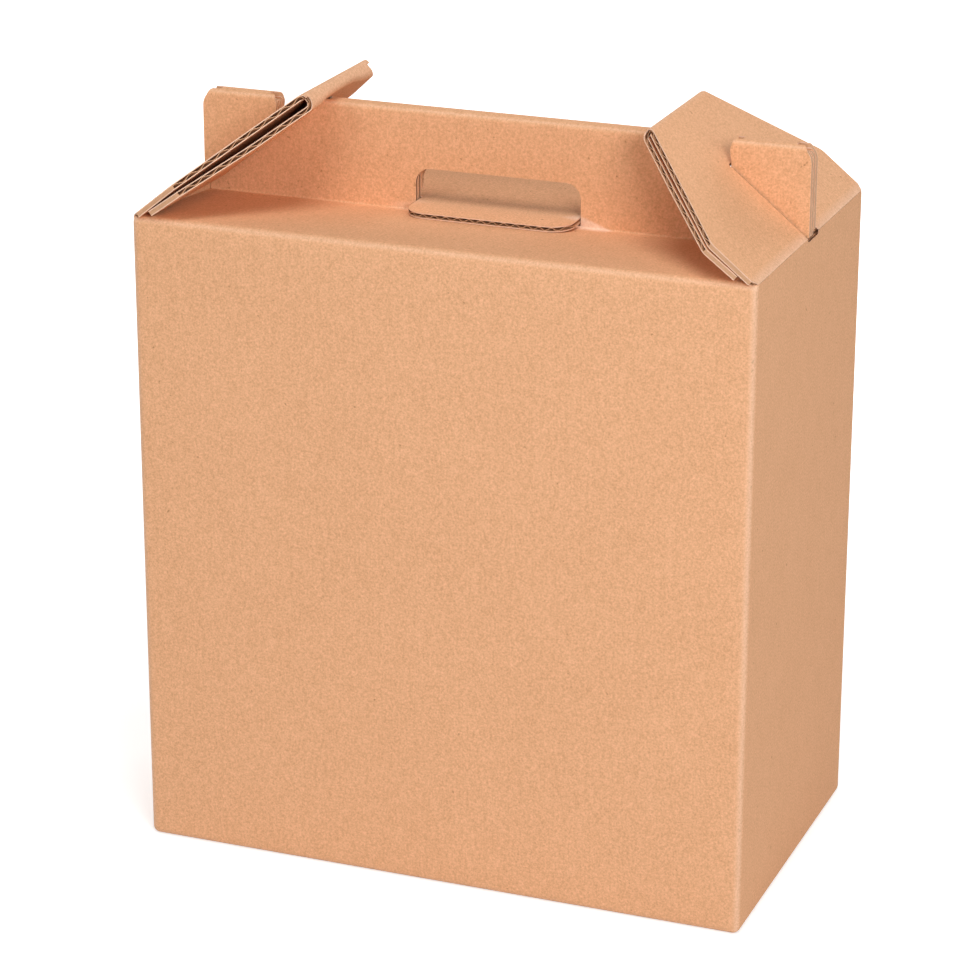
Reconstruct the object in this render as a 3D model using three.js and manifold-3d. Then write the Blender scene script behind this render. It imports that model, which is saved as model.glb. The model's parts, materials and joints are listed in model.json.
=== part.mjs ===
// A gable-top wine box with a carrying handle, folded from one sheet of brown corrugated board.
// Millimetres, +Z up. The origin is the middle of the base, and the front wall faces -Y.
import * as THREE from "three";
import { mergeVertices } from "three/addons/utils/BufferGeometryUtils.js";
import Module from "manifold-3d";

// The box.
const boxWidth = 340; // across the front wall, X
const boxDepth = 194; // across a side wall, Y
const wallHeight = 354; // from the floor to the top creases
const board = 3; // thickness of the board
const creaseRadius = 4; // outside radius of a fold
const boardGap = 0.3; // between two layers that lie on each other
const glueTabWidth = 30; // the seam tab inside the rear left corner
const glueTabMargin = 14; // its distance from the top and bottom creases

// The two roof panels, and the handle that stands on them.
const roofEndGap = 0.5; // between a roof panel's end and the side wall
const frontRoofDrop = 7.2; // fall of the front roof on its way to the handle
const handleHeight = 48; // of the handle above the top creases
const handleMiddle = -1.5; // Y of the middle sheet; the handle leans a little forward
const layerGap = 1.3; // between two sheets of the handle
const capRadius = 3.2; // outside radius of the folds along the handle's top
const innerSheetDrop = 0.6; // the middle sheet ends this far under the folded cap
const hangingSheetLift = 2.5; // the rear sheet ends this far above the top creases

// The ears at the handle's ends, which pass through the gable flaps and hook over them.
const earWidth = 34.3; // along the handle's top, up to the hook's round
const earCornerRadius = 9; // the ear's outer top corner
const earFootGap = 0.4; // between the ear's foot and the top crease
const hookUndercut = 0.9; // the hook's tip stands this far over the ear's neck
const hookDrop = 11; // angle in degrees of the hook's round, about the flap's hinge

// The hand hole, and the tongue cut from it, which lies forward on the front roof.
const handHoleWidth = 93;
const handHoleHeight = 23.5; // above the handle's foot
const handHoleRadius = 8.5;
const holeLip = 1; // of the fold left under the hand hole
const tongueWidth = 92;
const tongueReach = 26.5; // forward of the middle sheet
const tongueRadius = 12;

// A gable flap: two layers, folded back at the ridge.
const flapSlope = 39; // degrees above level
const flapLength = 95.9; // from the hinge to the ridge
const flapShoulder = 30.7; // the straight part of its side edges
const flapRidgeWidth = 81.6;
const flapCornerRadius = 6;
const flapFootInset = 3.4; // the foot's corners clear the front and rear walls by this much
const flapFootBevel = 4; // length of that cut along the edge
const ridgeGap = 1.6; // between the two layers at the ridge
const mouthGap = 0.4; // and at the inner layer's lower edge
const innerLayerStart = 10.5; // the inner layer's lower edge, from the hinge
const creaseEase = 0.02; // the second bend of the ridge is this much tighter than the first
const hingeGap = 0.3; // kept along the mitre between a wall and its flap
const swingGap = 0.6; // between the hook's tip and the end of the slot as the flap swings
const slotWidth = 20;
const slotMiddle = 1.5; // Y of the slot's middle
const slotRadius = 2; // its corners
const slotWallDepth = 2; // how far the slot runs down into the side wall
const slitGap = 0.5; // between the folded flap and the slit in the handle that takes it
const slitCornerRadius = 3;
const slitEndStep = 4.2; // the slit's end leans this far back through the flap's thickness
const slitEndGap = 5; // from the slit's end to the end of the flap's slot

// The base: four flaps that lock into each other.
const frontFlapReach = 105; // from the front wall
const frontFlapSideInset = 13.5; // its ends stay clear of the side flaps' creases
const rearFlapReach = 127; // from the rear wall
const rearFlapInset = 10;
const rearRampStart = 11; // from the rear wall, where the rear flap climbs over the side flaps
const rearRampLength = 6;
const sideFlapReach = 58; // from a side wall
const sideFlapRoot = 12; // width left beside the front flap
const sideFlapEndInset = 5; // from the front and rear walls
const sideFlapRearMargin = 18; // from the rear wall, at the panel
const sideFlapTaper = 20;
const lockWidth = 110; // the tongue that locks the base
const lockRampStart = 67; // from the front wall
const lockRampLength = 40;
const lockReach = 139; // from the front wall
const lockGap = 1.5; // round the locking tongue and between the flaps

const arcStep = 15; // degrees between two points of a fold
const overlap = 12; // how far a folded panel runs along its wall, inside it
const beyond = 20; // how far a cutting solid runs past what it cuts

const halfWidth = boxWidth / 2;
const halfDepth = boxDepth / 2;
const halfBoard = board / 2;
const handleTop = wallHeight + handleHeight;
const roofHalf = halfWidth - board - roofEndGap;
const slope = THREE.MathUtils.degToRad(flapSlope);

const wasm = await Module();
wasm.setup();

// A closed geometry as a solid, with the vertices that its faces share merged.
function solidOf(geometry) {
  geometry.deleteAttribute("normal");
  geometry.deleteAttribute("uv");
  const merged = mergeVertices(geometry, 1e-4);
  return new wasm.Manifold(
    new wasm.Mesh({
      numProp: 3,
      vertProperties: merged.attributes.position.array,
      triVerts: new Uint32Array(merged.index.array),
    }),
  );
}

function geometryOf(solid) {
  const mesh = solid.getMesh();
  const geometry = new THREE.BufferGeometry();
  geometry.setAttribute("position", new THREE.BufferAttribute(mesh.vertProperties, 3));
  geometry.setIndex(new THREE.BufferAttribute(mesh.triVerts, 1));
  geometry.computeVertexNormals();
  return geometry;
}

function join(solids) {
  return solids.reduce((whole, solid) => whole.add(solid));
}

// A flat outline pushed along an axis from one place on it to another.
function extruded(outline, from, to) {
  const shape = new THREE.Shape(outline);
  const geometry = new THREE.ExtrudeGeometry(shape, { depth: to - from, bevelEnabled: false });
  return geometry.translate(0, 0, from);
}

// An outline in Y and Z, pushed along X.
function alongX(outline, from, to) {
  const turn = new THREE.Matrix4().makeBasis(
    new THREE.Vector3(0, 1, 0),
    new THREE.Vector3(0, 0, 1),
    new THREE.Vector3(1, 0, 0),
  );
  return solidOf(extruded(outline, from, to).applyMatrix4(turn));
}

// An outline in X and Z, pushed along Y.
function alongY(outline, from, to) {
  const turn = new THREE.Matrix4().makeBasis(
    new THREE.Vector3(1, 0, 0),
    new THREE.Vector3(0, 0, 1),
    new THREE.Vector3(0, -1, 0),
  );
  return solidOf(extruded(outline, -to, -from).applyMatrix4(turn));
}

// An outline in X and Y, pushed along Z.
function alongZ(outline, from, to) {
  return solidOf(extruded(outline, from, to));
}

function point(x, y) {
  return new THREE.Vector2(x, y);
}

// Points of an arc about a centre, from one angle to another in degrees.
function arc(x, y, radius, fromDegrees, toDegrees) {
  const steps = Math.max(2, Math.ceil(Math.abs(toDegrees - fromDegrees) / arcStep));
  return Array.from({ length: steps + 1 }, (_, i) => {
    const angle = THREE.MathUtils.degToRad(fromDegrees + ((toDegrees - fromDegrees) * i) / steps);
    return point(x + radius * Math.cos(angle), y + radius * Math.sin(angle));
  });
}

// A polygon whose corners [x, y, radius] are rounded where they have a radius.
function roundedOutline(corners) {
  return corners.flatMap(([x, y, radius = 0], i) => {
    if (radius === 0) return [point(x, y)];
    const [beforeX, beforeY] = corners[(i + corners.length - 1) % corners.length];
    const [afterX, afterY] = corners[(i + 1) % corners.length];
    return bend(point(beforeX, beforeY), point(x, y), point(afterX, afterY), radius).map(
      (sample) => sample.at,
    );
  });
}

// Points of the arc that rounds a corner, each with the line's direction there.
function bend(before, corner, after, radius) {
  const into = corner.clone().sub(before).normalize();
  const outOf = after.clone().sub(corner).normalize();
  const turn = Math.atan2(into.cross(outOf), into.dot(outOf));
  const side = Math.sign(turn);
  const start = corner.clone().addScaledVector(into, -radius * Math.tan(Math.abs(turn) / 2));
  const centre = start.clone().addScaledVector(leftOf(into), side * radius);
  const steps = Math.max(2, Math.ceil(THREE.MathUtils.radToDeg(Math.abs(turn)) / arcStep));
  return Array.from({ length: steps + 1 }, (_, i) => {
    const along = into.clone().rotateAround(point(0, 0), (turn * i) / steps);
    return { at: centre.clone().addScaledVector(leftOf(along), -side * radius), along };
  });
}

function leftOf(direction) {
  return point(-direction.y, direction.x);
}

// Section of the board, folded along a line through its middle. Each corner is [x, y, outside radius].
function foldedBoard(corners) {
  const middle = corners.map(([x, y]) => point(x, y));
  const samples = corners.flatMap(([, , radius = creaseRadius], i) => {
    const last = i === corners.length - 1;
    if (i > 0 && !last) return bend(middle[i - 1], middle[i], middle[i + 1], radius - halfBoard);
    const along = (i === 0 ? middle[1] : middle[i]).clone();
    along.sub(i === 0 ? middle[0] : middle[i - 1]).normalize();
    return [{ at: middle[i], along }];
  });
  const left = samples.map(({ at, along }) => at.clone().addScaledVector(leftOf(along), halfBoard));
  const right = samples.map(({ at, along }) => at.clone().addScaledVector(leftOf(along), -halfBoard));
  return [...left, ...right.reverse()];
}

function mirrored(outline) {
  return outline.map(({ x, y }) => point(-x, y)).reverse();
}

function rectangle(x0, y0, x1, y1) {
  return [point(x0, y0), point(x1, y0), point(x1, y1), point(x0, y1)];
}

// A place on the right gable flap, in X and Z: how far up from the hinge, and how deep under its face.
function onFlap(up, deep) {
  return point(
    halfWidth - up * Math.cos(slope) - deep * Math.sin(slope),
    wallHeight + up * Math.sin(slope) - deep * Math.cos(slope),
  );
}

// The mitre between a side wall and its flap runs inwards from the hinge, half way between the two.
const mitreAngle = (Math.PI / 2 + slope) / 2; // between the mitre and either board
const mitreRun = board / Math.tan(mitreAngle);
const mitreStart = hingeGap / 2 / Math.sin(mitreAngle);

// The fold at the ridge, and the line of the inner layer under the outer one.
const ridgeFoldRadius = board + ridgeGap / 2;
const ridgeMiddle = flapLength - ridgeFoldRadius;
function innerLayerGap(up) {
  return mouthGap + ((ridgeGap - mouthGap) * (up - innerLayerStart)) / (ridgeMiddle - innerLayerStart);
}
function slitDepth(up) {
  return 2 * board + innerLayerGap(up) + slitGap;
}

// The hook turns about the flap's hinge, so that the flap's slot passes over it.
const hookReach = Math.hypot(earWidth, handleHeight);
const slotEnd = hookReach + swingGap;
const slitEnd = slotEnd - slitEndGap;

// The line of the front roof's middle, and of the rear roof, which the tongue carries on over it.
const roofMiddle = wallHeight - halfBoard;
const wallMiddle = halfDepth - halfBoard;
const sheetPitch = board + layerGap;
const frontSheet = handleMiddle - sheetPitch;
const hangingSheet = handleMiddle + sheetPitch;
function frontRoofAt(y) {
  return roofMiddle - (frontRoofDrop * (y + wallMiddle)) / (frontSheet + wallMiddle);
}
const tongueEnd = handleMiddle - tongueReach;
const tongueEndMiddle = frontRoofAt(tongueEnd) + board + boardGap;
function rearRoofAt(y) {
  return roofMiddle + ((tongueEndMiddle - roofMiddle) * (wallMiddle - y)) / (wallMiddle - tongueEnd);
}

// The four walls: a tube with rounded corners, rounded again along its top and bottom edges.
function walls() {
  const tube = new THREE.Shape(boxOutline(halfWidth, halfDepth, creaseRadius));
  tube.holes.push(
    new THREE.Path(boxOutline(halfWidth - board, halfDepth - board, creaseRadius - board)),
  );
  const standing = solidOf(
    new THREE.ExtrudeGeometry(tube, { depth: wallHeight, bevelEnabled: false }),
  );
  const fromSide = roundedOutline([
    [-halfDepth, 0, creaseRadius],
    [halfDepth, 0, creaseRadius],
    [halfDepth, wallHeight, creaseRadius],
    [-halfDepth, wallHeight, creaseRadius],
  ]);
  const fromFront = roundedOutline([
    [-halfWidth, 0, creaseRadius],
    [halfWidth, 0, creaseRadius],
    [halfWidth, wallHeight],
    [-halfWidth, wallHeight],
  ]);
  return standing
    .intersect(alongX(fromSide, -halfWidth - beyond, halfWidth + beyond))
    .intersect(alongY(fromFront, -halfDepth - beyond, halfDepth + beyond));
}

function boxOutline(halfX, halfY, radius) {
  return roundedOutline([
    [-halfX, -halfY, radius],
    [halfX, -halfY, radius],
    [halfX, halfY, radius],
    [-halfX, halfY, radius],
  ]);
}

// The seam tab is glued flat inside the left wall, beside the rear wall.
function glueTab() {
  const inside = -halfWidth + board;
  return alongX(
    rectangle(
      halfDepth - board - glueTabWidth,
      glueTabMargin,
      halfDepth - halfBoard,
      wallHeight - glueTabMargin,
    ),
    inside - halfBoard,
    inside + board,
  );
}

// What the handle's sheets and the roofs keep of their width, seen from the front.
function handleOutline() {
  const foot = wallHeight + earFootGap;
  const cornerX = halfWidth - earCornerRadius;
  const cornerZ = handleTop - earCornerRadius;
  const hookStart = THREE.MathUtils.radToDeg(Math.atan2(handleHeight, -earWidth));
  const hook = arc(halfWidth, wallHeight, hookReach, hookStart, hookStart + hookDrop);
  const hookTip = hook[hook.length - 1];
  const neck = onFlap(slitEnd, 0);
  const slitFoot = onFlap(slitEnd - slitEndStep, slitDepth(slitEnd - slitEndStep));
  const upper = onFlap(ridgeMiddle, slitDepth(ridgeMiddle));
  const rise = (handleTop - slitFoot.y) / (upper.y - slitFoot.y);
  const slitHead = slitFoot.clone().lerp(upper, rise);
  const mainCorner = bend(slitFoot, slitHead, point(0, handleTop), slitCornerRadius);
  const right = [
    point(roofHalf, wallHeight - creaseRadius - overlap - beyond),
    point(roofHalf, foot),
    point(halfWidth, foot),
    ...arc(cornerX, cornerZ, earCornerRadius, 0, 90),
    ...hook,
    point(neck.x + hookUndercut, (hookTip.y + neck.y) / 2),
    neck,
    slitFoot,
    ...mainCorner.map((sample) => sample.at),
  ];
  return [...right, ...mirrored(right)];
}

function kept(section, outline) {
  return alongX(section, -halfWidth, halfWidth).intersect(
    alongY(outline, -halfDepth - beyond, halfDepth + beyond),
  );
}

function handHole(foot, top) {
  const half = handHoleWidth / 2;
  return roundedOutline([
    [-half, foot],
    [half, foot],
    [half, top, handHoleRadius],
    [-half, top, handHoleRadius],
  ]);
}

// The front roof rises into the handle's front sheet, which folds over the top and hangs down behind.
function frontRoofAndHandle(outline) {
  const foot = frontRoofAt(frontSheet);
  const capMiddle = handleTop - halfBoard;
  const sheet = kept(
    foldedBoard([
      [-wallMiddle, wallHeight - creaseRadius - overlap],
      [-wallMiddle, roofMiddle],
      [frontSheet, foot],
      [frontSheet, capMiddle, capRadius],
      [hangingSheet, capMiddle, capRadius],
      [hangingSheet, wallHeight + hangingSheetLift],
    ]),
    outline,
  );
  const holeFoot = foot + halfBoard + holeLip;
  const hole = handHole(holeFoot, foot + halfBoard + handHoleHeight);
  return sheet.subtract(alongY(hole, frontSheet - sheetPitch, hangingSheet + sheetPitch));
}

// The rear roof rises into the handle's middle sheet, and its tongue runs on through the hand hole.
function rearRoofAndHandle(outline) {
  const foot = rearRoofAt(handleMiddle);
  const sheet = kept(
    foldedBoard([
      [wallMiddle, wallHeight - creaseRadius - overlap],
      [wallMiddle, roofMiddle],
      [handleMiddle, foot],
      [handleMiddle, handleTop - board - innerSheetDrop],
    ]),
    outline,
  );
  const tongueRoot = handleMiddle + creaseRadius;
  const hole = handHole(foot - sheetPitch, foot + tongueReach);
  const tongue = foldedBoard([
    [tongueEnd, tongueEndMiddle],
    [tongueRoot + board, rearRoofAt(tongueRoot + board)],
  ]);
  const half = tongueWidth / 2;
  const tongueOutline = roundedOutline([
    [-half, tongueEnd, tongueRadius],
    [half, tongueEnd, tongueRadius],
    [half, tongueRoot + board],
    [-half, tongueRoot + board],
  ]);
  return sheet
    .subtract(alongY(hole, handleMiddle - sheetPitch, tongueRoot))
    .add(
      alongX(tongue, -half, half).intersect(
        alongZ(tongueOutline, wallHeight - beyond, wallHeight + beyond),
      ),
    );
}

// Room for the two gable flaps over the walls' top edges, down to the mitre.
function flapRoom() {
  const outside = new THREE.Vector2(Math.cos(slope + mitreAngle), Math.sin(slope + mitreAngle));
  const wallSide = point(halfWidth, wallHeight - mitreStart);
  const inner = onFlap(mitreRun - mitreStart, board);
  inner.y -= 2 * mitreStart;
  const top = onFlap(innerLayerStart, board);
  const right = [
    wallSide.clone().addScaledVector(outside, -halfBoard),
    inner,
    point(top.x, top.y - 2 * mitreStart),
    point(top.x, handleTop),
    point(halfWidth + halfBoard, handleTop),
  ];
  const slotFront = slotMiddle - slotWidth / 2;
  const slotRear = slotMiddle + slotWidth / 2;
  const strips = [
    [-halfDepth - beyond, slotFront],
    [slotRear, halfDepth + beyond],
  ];
  return join(
    strips.flatMap(([from, to]) => [alongY(right, from, to), alongY(mirrored(right), from, to)]),
  );
}

// The slots run down through the creases into the side walls.
function slotFeet() {
  const half = slotWidth / 2;
  const foot = roundedOutline([
    [slotMiddle - half, wallHeight - slotWallDepth, slotWallDepth],
    [slotMiddle + half, wallHeight - slotWallDepth, slotWallDepth],
    [slotMiddle + half, wallHeight + creaseRadius],
    [slotMiddle - half, wallHeight + creaseRadius],
  ]);
  const inside = halfWidth - board - roofEndGap / 2;
  return alongX(foot, inside, halfWidth + beyond).add(alongX(foot, -halfWidth - beyond, -inside));
}

// The front flap of the base lies lowest, and its locking tongue climbs over the rear flap.
function frontBaseFlap() {
  const end = frontFlapReach - halfDepth;
  const half = halfWidth - creaseRadius;
  const panel = alongX(
    foldedBoard([
      [-wallMiddle, creaseRadius + overlap],
      [-wallMiddle, halfBoard],
      [end, halfBoard],
    ]),
    -half,
    half,
  );
  const narrow = halfWidth - frontFlapSideInset;
  const outline = roundedOutline([
    [-half, -halfDepth],
    [half, -halfDepth],
    [half, -halfDepth + creaseRadius],
    [narrow, -halfDepth + frontFlapSideInset],
    [narrow, end, creaseRadius],
    [-narrow, end, creaseRadius],
    [-narrow, -halfDepth + frontFlapSideInset],
    [-half, -halfDepth + creaseRadius],
  ]);
  const lockFoot = lockRampStart - halfDepth;
  const lockHalf = lockWidth / 2;
  const lockHole = rectangle(-lockHalf - lockGap, lockFoot, lockHalf + lockGap, end + beyond);
  const climb = 2 * (board + boardGap);
  const lock = alongX(
    foldedBoard([
      [lockFoot - overlap, halfBoard],
      [lockFoot, halfBoard],
      [lockFoot + lockRampLength, halfBoard + climb],
      [lockReach - halfDepth, halfBoard + climb],
    ]),
    -lockHalf,
    lockHalf,
  );
  return panel
    .intersect(alongZ(outline, -beyond, beyond + overlap))
    .subtract(alongZ(lockHole, -beyond, beyond))
    .add(lock);
}

// The rear flap climbs over the side flaps and leaves a notch for the locking tongue.
function rearBaseFlap() {
  const half = halfWidth - rearFlapInset;
  const rampStart = halfDepth - rearRampStart;
  const end = halfDepth - rearFlapReach;
  const level = halfBoard + board + boardGap;
  const panel = alongX(
    foldedBoard([
      [wallMiddle, creaseRadius + overlap],
      [wallMiddle, halfBoard],
      [rampStart, halfBoard],
      [rampStart - rearRampLength, level],
      [end, level],
    ]),
    -half,
    half,
  );
  const notchHalf = lockWidth / 2 + lockGap;
  const notchEnd = lockRampStart + lockRampLength + lockGap - halfDepth;
  const notch = rectangle(-notchHalf, end - beyond, notchHalf, notchEnd);
  return panel.subtract(alongZ(notch, -beyond, beyond));
}

// A side flap lies beside the front flap and under the rear one.
function sideBaseFlap() {
  const reach = halfWidth - sideFlapReach;
  const root = halfWidth - sideFlapRoot;
  const panel = alongY(
    foldedBoard([
      [halfWidth - halfBoard, creaseRadius + overlap],
      [halfWidth - halfBoard, halfBoard],
      [reach, halfBoard],
    ]),
    -halfDepth,
    halfDepth,
  );
  const start = frontFlapReach - halfDepth + lockGap;
  const rear = halfDepth - sideFlapRearMargin;
  const outline = [
    point(halfWidth + creaseRadius, sideFlapEndInset - halfDepth),
    point(root, sideFlapEndInset + sideFlapRoot - halfDepth),
    point(root, start),
    point(reach, start),
    point(reach, rear - sideFlapTaper),
    point(reach + sideFlapTaper, rear),
    point(root, rear),
    point(halfWidth + creaseRadius, halfDepth - sideFlapEndInset),
  ].reverse();
  const right = panel.intersect(alongZ(outline, -beyond, beyond + overlap));
  return right.add(right.mirror([1, 0, 0]));
}

// A gable flap in its own frame: X up its slope from the hinge, Z out of its face, Y across.
function gableFlap(slotCentre) {
  const ridgeCorner = flapLength - halfBoard;
  const innerLine = (up) => -(board + innerLayerGap(up) + halfBoard);
  const section = foldedBoard([
    [-board, -halfBoard],
    [ridgeCorner, -halfBoard, ridgeFoldRadius],
    [ridgeCorner, innerLine(ridgeCorner), ridgeFoldRadius - creaseEase],
    [innerLayerStart, innerLine(innerLayerStart)],
  ]);
  const half = halfDepth;
  const ridgeHalf = flapRidgeWidth / 2;
  const footHalf = half - flapFootInset;
  const outline = roundedOutline([
    [-board, -footHalf],
    [0, -footHalf],
    [flapFootBevel, -half],
    [flapShoulder, -half, flapCornerRadius],
    [flapLength, -ridgeHalf, flapCornerRadius],
    [flapLength, ridgeHalf, flapCornerRadius],
    [flapShoulder, half, flapCornerRadius],
    [flapFootBevel, half],
    [0, footHalf],
    [-board, footHalf],
  ]);
  const slotHalf = slotWidth / 2;
  const slot = roundedOutline([
    [-beyond, slotCentre - slotHalf],
    [slotEnd, slotCentre - slotHalf, slotRadius],
    [slotEnd, slotCentre + slotHalf, slotRadius],
    [-beyond, slotCentre + slotHalf],
  ]);
  const mitre = [
    point(mitreStart, 0),
    point(mitreStart + 2 * mitreRun, -2 * board),
    point(flapLength + beyond, -2 * board),
    point(flapLength + beyond, -beyond),
    point(flapLength + 2 * beyond, -beyond),
    point(flapLength + 2 * beyond, beyond),
    point(mitreStart - (mitreRun * beyond) / board, beyond),
  ];
  const innerHalf = [
    point(innerLayerStart - board, -board - mouthGap / 2),
    point(innerLayerStart - board, -beyond),
    point(flapLength + beyond, -beyond),
    point(flapLength + beyond, -board - mouthGap / 2),
  ];
  const room = alongY(mitre, -half - beyond, half + beyond).add(
    alongY(innerHalf, -half - beyond, half + beyond),
  );
  const flap = alongY(section, -half, half)
    .intersect(alongZ(outline, -beyond, beyond))
    .subtract(alongZ(slot, -beyond, beyond))
    .intersect(room);
  return geometryOf(flap);
}

function cartonGeometry() {
  const outline = handleOutline();
  const body = join([walls(), glueTab(), frontBaseFlap(), rearBaseFlap(), sideBaseFlap()]);
  const top = frontRoofAndHandle(outline).add(rearRoofAndHandle(outline));
  return geometryOf(body.add(top).subtract(flapRoom()).subtract(slotFeet()));
}

function kraft(colour) {
  return new THREE.MeshStandardMaterial({ color: colour, roughness: 0.9, metalness: 0 });
}

const carton = new THREE.Mesh(cartonGeometry(), kraft(0xdca577));
carton.name = "carton";

const rightFlap = new THREE.Mesh(gableFlap(-slotMiddle), kraft(0xd6a276));
rightFlap.name = "right_gable_flap";
rightFlap.position.set(halfWidth, 0, wallHeight);
rightFlap.rotation.set(0, slope, Math.PI, "YXZ");

const leftFlap = new THREE.Mesh(gableFlap(slotMiddle), kraft(0xd9a576));
leftFlap.name = "left_gable_flap";
leftFlap.position.set(-halfWidth, 0, wallHeight);
leftFlap.rotation.set(0, -slope, 0);

const wineBox = new THREE.Group();
wineBox.add(carton, rightFlap, leftFlap);

export default wineBox;
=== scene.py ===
# %% [markdown]
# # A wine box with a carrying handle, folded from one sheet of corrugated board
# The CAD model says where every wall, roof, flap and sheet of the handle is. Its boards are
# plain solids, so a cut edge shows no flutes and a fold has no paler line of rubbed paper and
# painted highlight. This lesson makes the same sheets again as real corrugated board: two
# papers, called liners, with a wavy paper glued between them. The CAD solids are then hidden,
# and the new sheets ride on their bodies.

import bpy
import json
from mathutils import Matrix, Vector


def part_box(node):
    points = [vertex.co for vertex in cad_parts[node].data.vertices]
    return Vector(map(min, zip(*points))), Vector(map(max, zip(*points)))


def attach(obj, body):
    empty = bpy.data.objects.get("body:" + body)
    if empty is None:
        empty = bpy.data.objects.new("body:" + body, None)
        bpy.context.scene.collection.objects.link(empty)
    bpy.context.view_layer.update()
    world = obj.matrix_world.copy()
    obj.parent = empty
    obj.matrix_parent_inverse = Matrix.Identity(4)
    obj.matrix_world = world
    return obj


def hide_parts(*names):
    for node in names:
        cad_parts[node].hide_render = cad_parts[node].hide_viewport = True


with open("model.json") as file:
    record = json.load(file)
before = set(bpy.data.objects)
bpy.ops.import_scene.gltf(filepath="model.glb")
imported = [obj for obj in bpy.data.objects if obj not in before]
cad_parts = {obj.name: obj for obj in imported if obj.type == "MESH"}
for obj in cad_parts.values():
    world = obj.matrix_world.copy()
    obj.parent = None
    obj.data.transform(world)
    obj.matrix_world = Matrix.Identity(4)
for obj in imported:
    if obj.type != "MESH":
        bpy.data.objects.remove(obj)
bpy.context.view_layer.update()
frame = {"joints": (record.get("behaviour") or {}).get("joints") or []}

# %% Modules
import json
import math

import bpy
import numpy as np
from mathutils import Matrix, Vector
from mathutils.geometry import delaunay_2d_cdt

# %% [markdown]
# ## The sizes of the box
# Board is measured in millimetres, so this script works in millimetres too, and turns them
# into Blender's metres only where a mesh is made. The outer sizes come from the frame. The
# others are the drawing's own values: thickness, folds, roofs, handle and flaps.

# %% Sizes from the frame and from the drawing
MM = 0.001
carton_high = np.array(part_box("carton")[1]) / MM
half_width, half_depth, handle_top = carton_high
wall_height = frame["joints"][0]["pos_m"][2] / MM

board = 3.0
half_board = board / 2
liner = 0.5  # thickness of an outer paper
medium = 0.38  # thickness of the wavy paper between them
flute_pitch = 6.5  # from one wave to the next
core = half_board - liner  # half the height that the waves fill

crease_radius = 4.0
middle_radius = crease_radius - half_board
roof_half = 166.5
handle_middle = -1.5
sheet_pitch = 4.3
front_sheet = handle_middle - sheet_pitch
hanging_sheet = handle_middle + sheet_pitch
roof_middle = wall_height - half_board
wall_middle = half_depth - half_board
front_roof_drop = 7.2
sheet_gap = 0.3  # between boards that lie on each other

flap_slope = math.radians(39)
flap_length = 95.9
slot_width = 20.0
slot_middle = 1.5
inner_layer_start = 10.5
print("box", 2 * half_width, "x", 2 * half_depth, "walls", wall_height, "handle top", handle_top)

# %% [markdown]
# ## Folding a sheet
# A folded sheet is flat in one direction and follows a line of straights and bends in the
# other. One could bend a mesh with modifiers, but then a hole would have to be placed by eye.
# Here the line is worked out first: its length, its places and its normals. A point of the flat
# sheet is then moved to the place at its length along the line, and pushed along the normal by
# its height in the board. Holes and cut corners are drawn on the flat sheet.

# %% The line that a sheet follows
BEND_STEPS = 8
TINY = 1e-6


def left_of(direction):
    """A direction turned by a quarter turn to the left."""
    return np.stack([-direction[..., 1], direction[..., 0]], -1)


def rounded(before, here, after, radius, steps=BEND_STEPS):
    """Points of the arc that rounds a corner, and the direction of the line at each.
    The arc starts radius x tan(half the turn) before the corner, and its centre lies one radius
    to the side that the line turns to."""
    into = (here - before) / np.linalg.norm(here - before)
    out_of = (after - here) / np.linalg.norm(after - here)
    turn = math.atan2(into[0] * out_of[1] - into[1] * out_of[0], into @ out_of)
    side = math.copysign(1, turn)
    start = here - into * radius * math.tan(abs(turn) / 2)
    centre = start + left_of(into) * side * radius
    angle = np.linspace(0, turn, steps + 1)[:, None]
    along = into * np.cos(angle) + left_of(into) * np.sin(angle)
    return centre - left_of(along) * side * radius, along


class FoldLine:
    """A line of straights and bends in a plane, from corners (first, second, bend's radius)."""

    def __init__(self, *corners):
        spots = np.array([corner[:2] for corner in corners], float)
        first = (spots[1] - spots[0]) / np.linalg.norm(spots[1] - spots[0])
        last = (spots[-1] - spots[-2]) / np.linalg.norm(spots[-1] - spots[-2])
        places, along = [spots[:1]], [first[None]]
        bends = []
        for i, corner in enumerate(corners[1:-1], 1):
            arc, direction = rounded(spots[i - 1], spots[i], spots[i + 1], corner[2])
            places.append(arc)
            along.append(direction)
            bends.append(sum(len(part) for part in places) - 1 - BEND_STEPS // 2)
        self.places = np.concatenate([*places, spots[-1:]])
        self.normals = left_of(np.concatenate([*along, last[None]]))
        steps = np.linalg.norm(np.diff(self.places, axis=0), axis=1)
        self.stations = np.concatenate([[0], np.cumsum(steps)])
        self.bends = self.stations[bends]
        self.length = self.stations[-1]

    def at(self, along, height):
        """First and second coordinate of points at a length along the line and a height off it."""
        place = [np.interp(along, self.stations, column) for column in self.places.T]
        normal = [np.interp(along, self.stations, column) for column in self.normals.T]
        return place[0] + height * normal[0], place[1] + height * normal[1]

    def length_at(self, value, column=1, after=0.0, until=None):
        """Length along the line at which a coordinate has a value, between two lengths."""
        until = self.length if until is None else until
        use = (self.stations >= after - TINY) & (self.stations <= until + TINY)
        values, stations = self.places[use, column], self.stations[use]
        if values[0] > values[-1]:
            values, stations = values[::-1], stations[::-1]
        return np.interp(value, values, stations)


# %% [markdown]
# ## From a flat outline to a skin
# Blender can fill an outline with triangles that also follow given lines. That is used here to
# cut a sheet's outline into a net with rows at the bends. A skin is the net at two heights in
# the board, closed by a wall along its cut edges. Three skins make corrugated board: a liner,
# the wavy paper, and the other liner. Each is a closed shell, so it renders and exports well.

# %% A net of triangles inside an outline
BEYOND = 5.0
GRID = 12.0  # a plain area of a liner gets a row or column at least this often


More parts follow.
